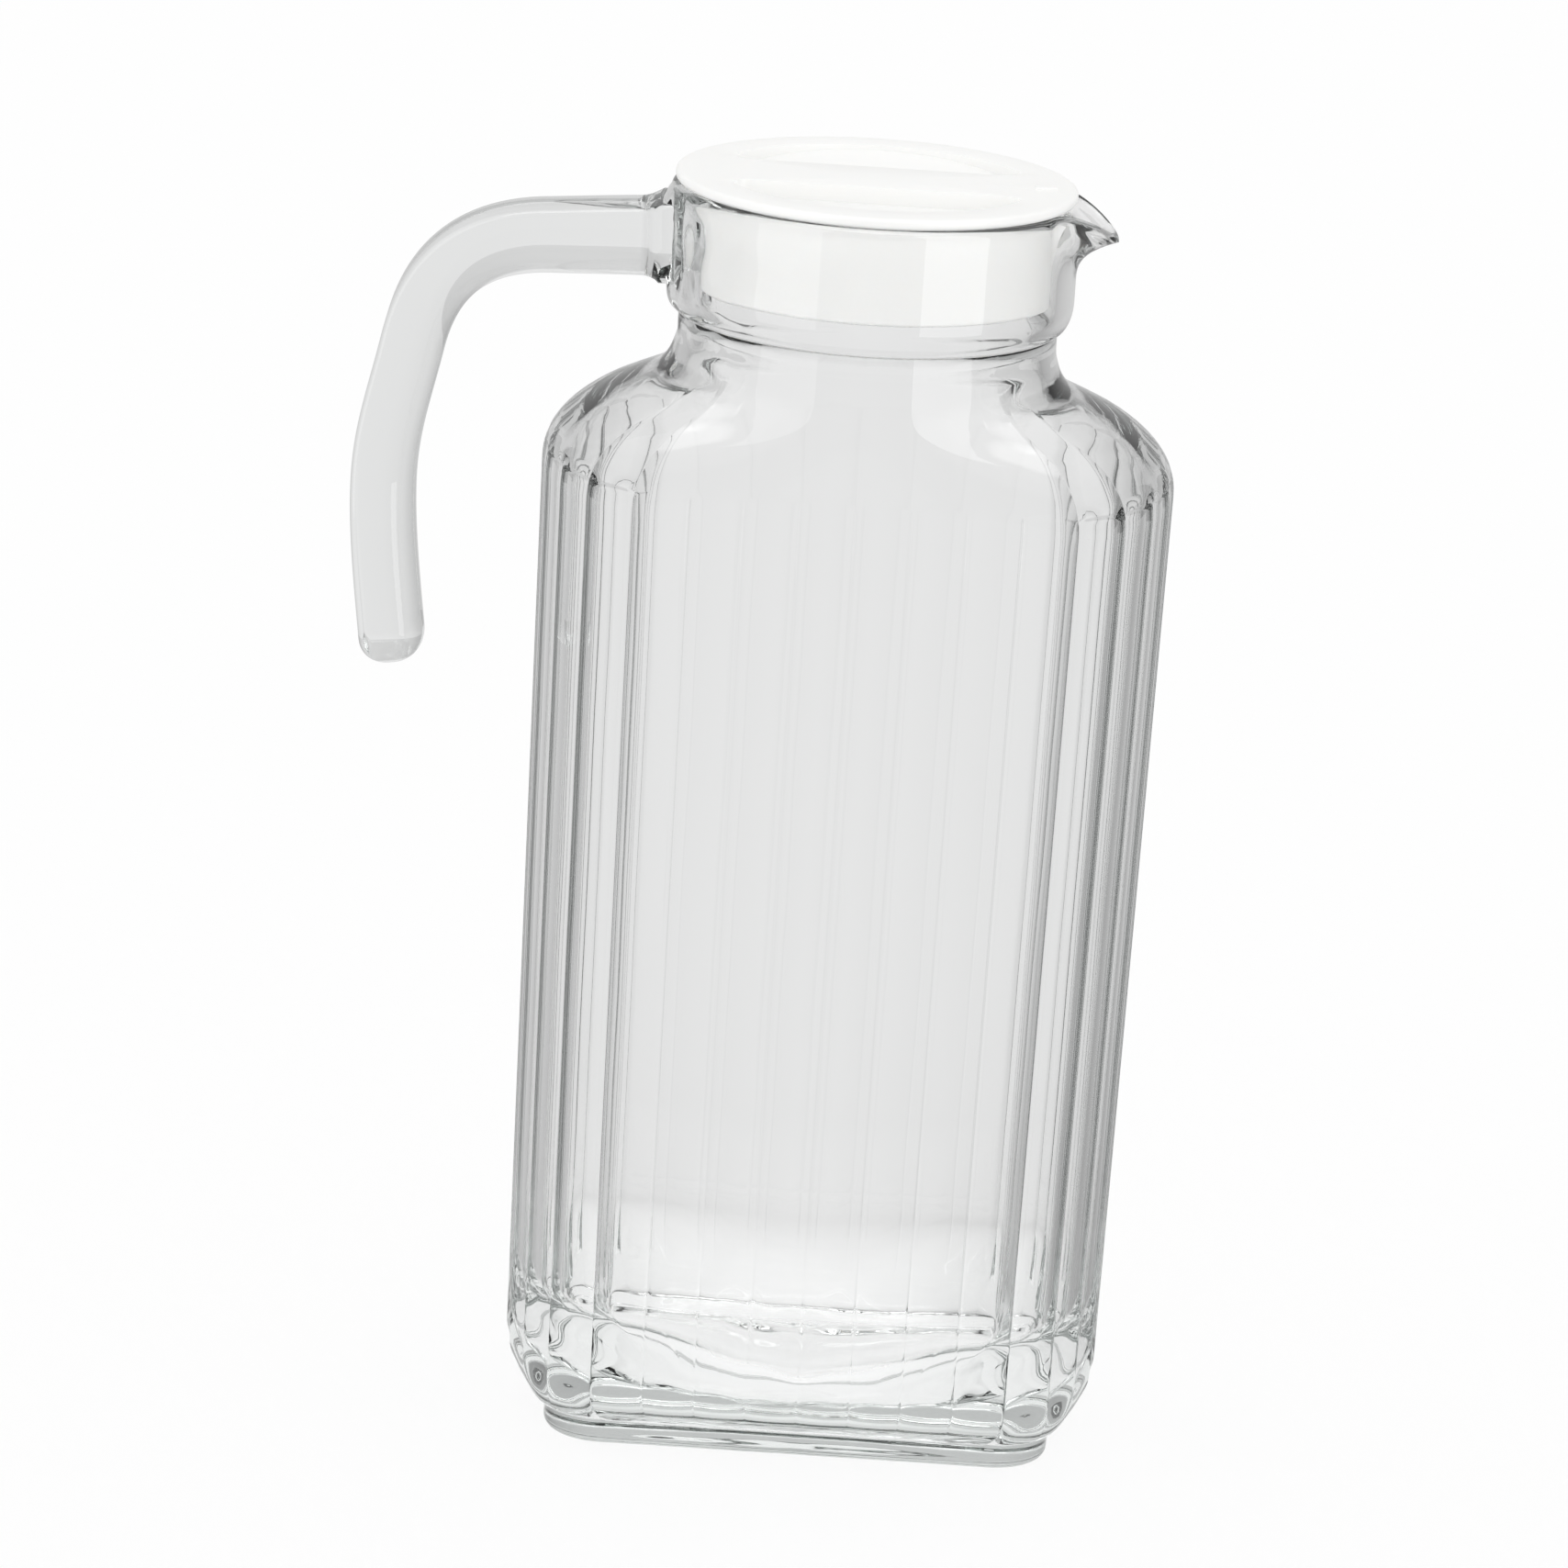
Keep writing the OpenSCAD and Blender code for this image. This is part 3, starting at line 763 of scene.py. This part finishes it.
def notch_block():
    """A block along X with rounded upper corners, through the skirt at +X."""
    half, top = NOTCH_W / 2, SKIRT_Z + NOTCH_H
    arch = [(half - NOTCH_R + NOTCH_R * math.cos(a), top - NOTCH_R + NOTCH_R * math.sin(a))
            for a in np.linspace(0, math.pi / 2, 8)]
    outline = [(half, SKIRT_Z - MM)] + arch + [(-y, z) for y, z in reversed(arch)]
    outline.append((-half, SKIRT_Z - MM))
    near, far = ([(x, y, z) for y, z in outline] for x in (SKIRT_R / 2, SKIRT_R + MM))
    return block("notch", near, far)


combine(lid, notch_block(), "DIFFERENCE")
pointer_x = (SCOOP_R + LID_R) / 2 - POINTER_L
pointer = [(pointer_x, -POINTER_L / 2), (pointer_x + POINTER_L, 0), (pointer_x, POINTER_L / 2)]
arrow = prism("pointer", pointer, flat_at(MID_DISC_Z), flat_at(LID_TOP_Z + POINTER_H))
combine(lid, arrow, "UNION")
print("lid finished:", volume_cm3(lid), "cm3")

# %% Round the cut edges
EDGE_R = 0.4 * MM


def round_edges(thing, radius, angle):
    step = thing.modifiers.new("edge_radius", "BEVEL")
    step.width, step.segments = radius, 3
    step.limit_method, step.angle_limit = "ANGLE", math.radians(angle)
    settle(thing)


round_edges(lid, EDGE_R, angle=50)
smooth_under(lid, angle=30)
print("lid faces:", len(lid.data.polygons))

# %% [markdown]
# ## Finishes
# Soda-lime glass is almost clear, but a long way through it is grey-green, so a jug's edges
# look darker than its walls. A Volume Absorption node inside the closed skin does exactly that:
# short paths stay clear and long ones darken. Blown glass also ripples a little, which a very
# weak bump shows. The lid is satin polyethylene: white, slightly translucent, with a fine
# moulded grain.

# %% Helpers for node trees
def new_material(name):
    material = bpy.data.materials.new(name)
    material.use_nodes = True
    return material, material.node_tree, material.node_tree.nodes["Principled BSDF"]


def object_noise(tree, scale, detail):
    """Noise laid out in the object's own metres."""
    place = tree.nodes.new("ShaderNodeTexCoord")
    grain = tree.nodes.new("ShaderNodeTexNoise")
    grain.inputs["Scale"].default_value = scale
    grain.inputs["Detail"].default_value = detail
    tree.links.new(place.outputs["Object"], grain.inputs["Vector"])
    return grain.outputs["Fac"]


def bump(tree, height, distance, strength):
    lift = tree.nodes.new("ShaderNodeBump")
    lift.inputs["Distance"].default_value = distance
    lift.inputs["Strength"].default_value = strength
    tree.links.new(height, lift.inputs["Height"])
    return lift.outputs["Normal"]


def spread(tree, value, low, high):
    """Turn a value between 0 and 1 into one between low and high."""
    ramp = tree.nodes.new("ShaderNodeMapRange")
    ramp.inputs["To Min"].default_value = low
    ramp.inputs["To Max"].default_value = high
    tree.links.new(value, ramp.inputs["Value"])
    return ramp.outputs["Result"]


# %% Clear glass and white plastic
GLASS_IOR = 1.51
GLASS_TINT = (0.50, 0.58, 0.55, 1)
GLASS_DENSITY = 6
RIPPLE_H = 1 * MM
RIPPLE_SCALE = 55
RIPPLE_STRENGTH = 0.03
GRAIN_H = 0.05 * MM
GRAIN_SCALE = 2600
GRAIN_STRENGTH = 0.25
CLOUD_SCALE = 40
WHITES = ((0.90, 0.90, 0.885, 1), (0.93, 0.93, 0.92, 1))
SATIN = (0.36, 0.46)
SCATTER_WEIGHT = 0.15
SCATTER_R = (1.5 * MM, 1.4 * MM, 1.3 * MM)


def clear_glass():
    material, tree, shader = new_material("blown_glass")
    shader.inputs["Base Color"].default_value = (1, 1, 1, 1)
    shader.inputs["Transmission Weight"].default_value = 1
    shader.inputs["IOR"].default_value = GLASS_IOR
    shader.inputs["Roughness"].default_value = 0.0
    ripple = object_noise(tree, RIPPLE_SCALE, detail=2)
    tree.links.new(bump(tree, ripple, RIPPLE_H, RIPPLE_STRENGTH), shader.inputs["Normal"])
    body = tree.nodes.new("ShaderNodeVolumeAbsorption")
    body.inputs["Color"].default_value = GLASS_TINT
    body.inputs["Density"].default_value = GLASS_DENSITY
    tree.links.new(body.outputs["Volume"], tree.nodes["Material Output"].inputs["Volume"])
    return material


def white_plastic():
    material, tree, shader = new_material("satin_plastic")
    cloud = object_noise(tree, CLOUD_SCALE, detail=3)
    tone = tree.nodes.new("ShaderNodeMix")
    tone.data_type = "RGBA"
    tone.inputs["A"].default_value, tone.inputs["B"].default_value = WHITES
    tree.links.new(cloud, tone.inputs["Factor"])
    tree.links.new(tone.outputs["Result"], shader.inputs["Base Color"])
    grain = object_noise(tree, GRAIN_SCALE, detail=2)
    tree.links.new(spread(tree, grain, *SATIN), shader.inputs["Roughness"])
    tree.links.new(bump(tree, grain, GRAIN_H, GRAIN_STRENGTH), shader.inputs["Normal"])
    shader.inputs["Subsurface Weight"].default_value = SCATTER_WEIGHT
    shader.inputs["Subsurface Radius"].default_value = SCATTER_R
    shader.inputs["Subsurface Scale"].default_value = 1
    return material


jug.data.materials.clear()
jug.data.materials.append(clear_glass())
lid.data.materials.clear()
lid.data.materials.append(white_plastic())
print("finishes:", [m.name for thing in (jug, lid) for m in thing.data.materials])

# %% [markdown]
# ## Bodies
# Each piece is tied to the body it moves with and stands for the solids that it replaces. The
# solids stay in the physics model.

# %% Tie the pieces to the bodies
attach(jug, "jug")
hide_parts("base_foot", "jug_body", "neck_collar", "pour_spout", "handle")
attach(lid, "lid")
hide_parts("lid_cap", "lid_skirt")
print("tied:", jug.name, "and", lid.name)

# %% [markdown]
# ## Studio
# Clear glass has no colour of its own: it shows its surroundings, so its looks are made here. A
# jug photographed on plain white would vanish. The usual way out is a bright wall behind it and
# darker sides: the flat front shows the wall, while the corners and ridges bend the view to the
# sides and draw themselves as grey lines. The levels below say how bright each direction is to
# the glass, in degrees around the jug, with 0 straight behind it. The camera itself sees plain
# white, and matt surfaces are lit by an even tent, so the lid stays clean. The floor glows under
# the jug, which lights up the thick base, and keeps a soft shadow.

# %% How bright the studio is in each direction
AROUND = ((-180, 0.64), (-150, 0.6), (-115, 0.54), (-90, 0.48), (-65, 0.42), (-49, 0.48),
          (-35, 0.6), (-11, 0.67), (0, 0.7), (11, 0.66), (35, 0.5), (49, 0.3),
          (65, 0.22), (90, 0.32), (115, 0.48), (150, 0.6), (180, 0.64))
UNDER_LEVEL = 1.0
UNDER_REACH = (40 * MM, 90 * MM)
GLOSSY_LOSS = 0.9


def maths(tree, operation, first, second=0.0):
    """A Math node on two sockets or numbers."""
    node = tree.nodes.new("ShaderNodeMath")
    node.operation = operation
    for socket, value in zip(node.inputs, (first, second)):
        if isinstance(value, (int, float)):
            socket.default_value = value
        else:
            tree.links.new(value, socket)
    return node.outputs[0]


def graded(tree, value, stops):
    """Turn a value into a level, along straight lines between the stops."""
    low, high = stops[0][0], stops[-1][0]
    share = maths(tree, "DIVIDE", maths(tree, "SUBTRACT", value, low), high - low)
    ramp = tree.nodes.new("ShaderNodeValToRGB")
    marks = ramp.color_ramp.elements
    while len(marks) < len(stops):
        marks.new(0.5)
    for mark, (place, level) in zip(marks, stops):
        mark.position = (place - low) / (high - low)
        mark.color = (level, level, level, 1)
    tree.links.new(share, ramp.inputs["Fac"])
    return ramp.outputs["Color"]


def matt_ray(tree, path):
    """1 for rays that light a matt surface, also when they pass through glass on their way."""
    times, now = path.outputs["Diffuse Depth"], path.outputs["Is Diffuse Ray"]
    return maths(tree, "GREATER_THAN", maths(tree, "ADD", times, now), 0.5)


def studio_level(tree, path, x, y):
    """To the glass, the studio is bright behind the jug and darker beside it."""
    turn = maths(tree, "DEGREES", maths(tree, "ARCTAN2", x, y))
    level = graded(tree, turn, AROUND)
    loss = maths(tree, "POWER", GLOSSY_LOSS, path.outputs["Glossy Depth"])
    return maths(tree, "MULTIPLY", level, loss)


print("level behind:", dict(AROUND)[0], "and beside:", dict(AROUND)[-90], dict(AROUND)[90])


# %% Floor
FLOOR_SIZE = 8
FLOOR_GLOW = 0.88
FLOOR_WHITE = (0.86, 0.86, 0.86, 1)


def studio_floor():
    half = FLOOR_SIZE / 2
    corners = [(-half, -half, 0), (half, -half, 0), (half, half, 0), (-half, half, 0)]
    floor = mesh_object("floor", corners, [(0, 1, 2, 3)])
    material, tree, shader = new_material("floor_white")
    tree.nodes.remove(shader)
    path = tree.nodes.new("ShaderNodeLightPath")
    place = tree.nodes.new("ShaderNodeTexCoord")
    spot = tree.nodes.new("ShaderNodeSeparateXYZ")
    tree.links.new(place.outputs["Object"], spot.inputs["Vector"])
    x, y = spot.outputs["X"], spot.outputs["Y"]
    matt = tree.nodes.new("ShaderNodeBsdfDiffuse")
    matt.inputs["Color"].default_value = FLOOR_WHITE
    glow = tree.nodes.new("ShaderNodeEmission")
    level = studio_level(tree, path, x, y)
    squares = [maths(tree, "MULTIPLY", side, side) for side in (x, y)]
    reach = maths(tree, "SQRT", maths(tree, "ADD", *squares))
    near, far = UNDER_REACH
    under = graded(tree, reach, ((0, 1), (near, 1), (far, 0), (2 * far, 0)))
    lift = maths(tree, "SUBTRACT", UNDER_LEVEL, level)
    level = maths(tree, "ADD", level, maths(tree, "MULTIPLY", under, lift))
    level = maths(tree, "MAXIMUM", level, path.outputs["Is Camera Ray"])
    level = maths(tree, "MAXIMUM", level, matt_ray(tree, path))
    tree.links.new(level, glow.inputs["Strength"])
    mix = tree.nodes.new("ShaderNodeMixShader")
    mix.inputs["Fac"].default_value = FLOOR_GLOW
    tree.links.new(matt.outputs["BSDF"], mix.inputs[1])
    tree.links.new(glow.outputs["Emission"], mix.inputs[2])
    tree.links.new(mix.outputs["Shader"], tree.nodes["Material Output"].inputs["Surface"])
    floor.data.materials.append(material)
    return floor


floor = studio_floor()
print(floor.name, FLOOR_SIZE, "m wide, bright up to", UNDER_REACH[1] / MM, "mm away")

# %% World
TENT = ((-1, 1.32), (0.3, 1.32), (0.6, 1.02), (1, 1.02))
OVERHEAD = ((-1, 0), (0.3, 0), (0.6, 0.87), (0.9, 0.9), (0.94, 3), (1, 3))
GLASS_GAIN = 0.9


def studio_world():
    """A soft tent for matt surfaces. Glass sees the studio: its walls and a lamp overhead."""
    world = bpy.data.worlds.new("studio")
    world.use_nodes = True
    world.cycles.sampling_method = "NONE"
    bpy.context.scene.world = world
    tree = world.node_tree
    room = tree.nodes["Background"]
    path = tree.nodes.new("ShaderNodeLightPath")
    place = tree.nodes.new("ShaderNodeTexCoord")
    way = tree.nodes.new("ShaderNodeSeparateXYZ")
    tree.links.new(place.outputs["Generated"], way.inputs["Vector"])
    around = studio_level(tree, path, way.outputs["X"], way.outputs["Y"])
    overhead = graded(tree, way.outputs["Z"], OVERHEAD)
    studio = maths(tree, "MAXIMUM", overhead, around)
    studio = maths(tree, "MAXIMUM", studio, path.outputs["Is Camera Ray"])
    tent = graded(tree, way.outputs["Z"], TENT)
    through = maths(tree, "GREATER_THAN", path.outputs["Transmission Depth"], 0.5)
    gain = maths(tree, "ADD", 1.0, maths(tree, "MULTIPLY", through, GLASS_GAIN))
    matt = matt_ray(tree, path)
    clear = maths(tree, "SUBTRACT", 1.0, matt)
    tent = maths(tree, "MULTIPLY", matt, maths(tree, "MULTIPLY", tent, gain))
    studio = maths(tree, "MULTIPLY", clear, studio)
    level = maths(tree, "ADD", tent, studio)
    room.inputs["Color"].default_value = (1, 1, 1, 1)
    tree.links.new(level, room.inputs["Strength"])


studio_world()
print("levels overhead:", sorted({level for _, level in OVERHEAD}))


# %% Softboxes beside the camera, for the highlights
def softbox(name, place, target, size, power):
    data = bpy.data.lights.new(name, "AREA")
    data.shape, data.size, data.size_y, data.energy = "RECTANGLE", size[0], size[1], power
    lamp = bpy.data.objects.new(name, data)
    bpy.context.scene.collection.objects.link(lamp)
    lamp.location = place
    lamp.rotation_euler = (Vector(target) - Vector(place)).to_track_quat("-Z", "Y").to_euler()
    lamp.visible_camera = lamp.visible_diffuse = lamp.visible_transmission = False
    return lamp


BOX_DISTANCE = 0.62
BOX_SIZE = (0.42, 1.1)
for name, turn, power in (("left_softbox", -47, 1.3), ("right_softbox", 47, 2.4)):
    a = math.radians(turn)
    spot = (BOX_DISTANCE * math.sin(a), -BOX_DISTANCE * math.cos(a), BOX_SIZE[1] / 2)
    softbox(name, spot, (0, 0, BOX_SIZE[1] / 2), BOX_SIZE, power)
    print(name, "at", turn, "degrees,", power, "W")

# %% [markdown]
# ## Camera
# The photograph was taken from about 1.5 m with a long lens, sixteen degrees above level, with
# the camera tilted a little so that the jug leans to the right. Light crosses many skins of
# glass in the corners and the base, so the render follows it further than usual; otherwise those
# places turn black.

# %% Place the camera
TARGET = Vector((-9.54, 0, 117.2)) * MM
DISTANCE = 1.5
AZIMUTH, ELEVATION, ROLL = (math.radians(a) for a in (0.17, 15.79, 3.71))
SENSOR_MM = 36
PHOTO_SIDE = 1708
FOCAL_PIXELS = 9098.5


def place_camera():
    data = bpy.data.cameras.new("camera")
    data.sensor_width = SENSOR_MM
    data.lens = SENSOR_MM * FOCAL_PIXELS / PHOTO_SIDE
    camera = bpy.data.objects.new("camera", data)
    bpy.context.scene.collection.objects.link(camera)
    back = Vector((math.sin(AZIMUTH) * math.cos(ELEVATION),
                   -math.cos(AZIMUTH) * math.cos(ELEVATION), math.sin(ELEVATION)))
    camera.location = TARGET + back * DISTANCE
    camera.rotation_mode = "QUATERNION"
    camera.rotation_quaternion = back.to_track_quat("Z", "Y") @ Quaternion((0, 0, 1), ROLL)
    bpy.context.scene.camera = camera
    return camera


camera = place_camera()
GLASS_BOUNCES = 24
bpy.context.scene.cycles.max_bounces = GLASS_BOUNCES
bpy.context.scene.cycles.glossy_bounces = GLASS_BOUNCES // 2
bpy.context.scene.cycles.transmission_bounces = GLASS_BOUNCES
bpy.context.scene.view_settings.view_transform = "Standard"
print("lens, mm:", round(camera.data.lens, 1))
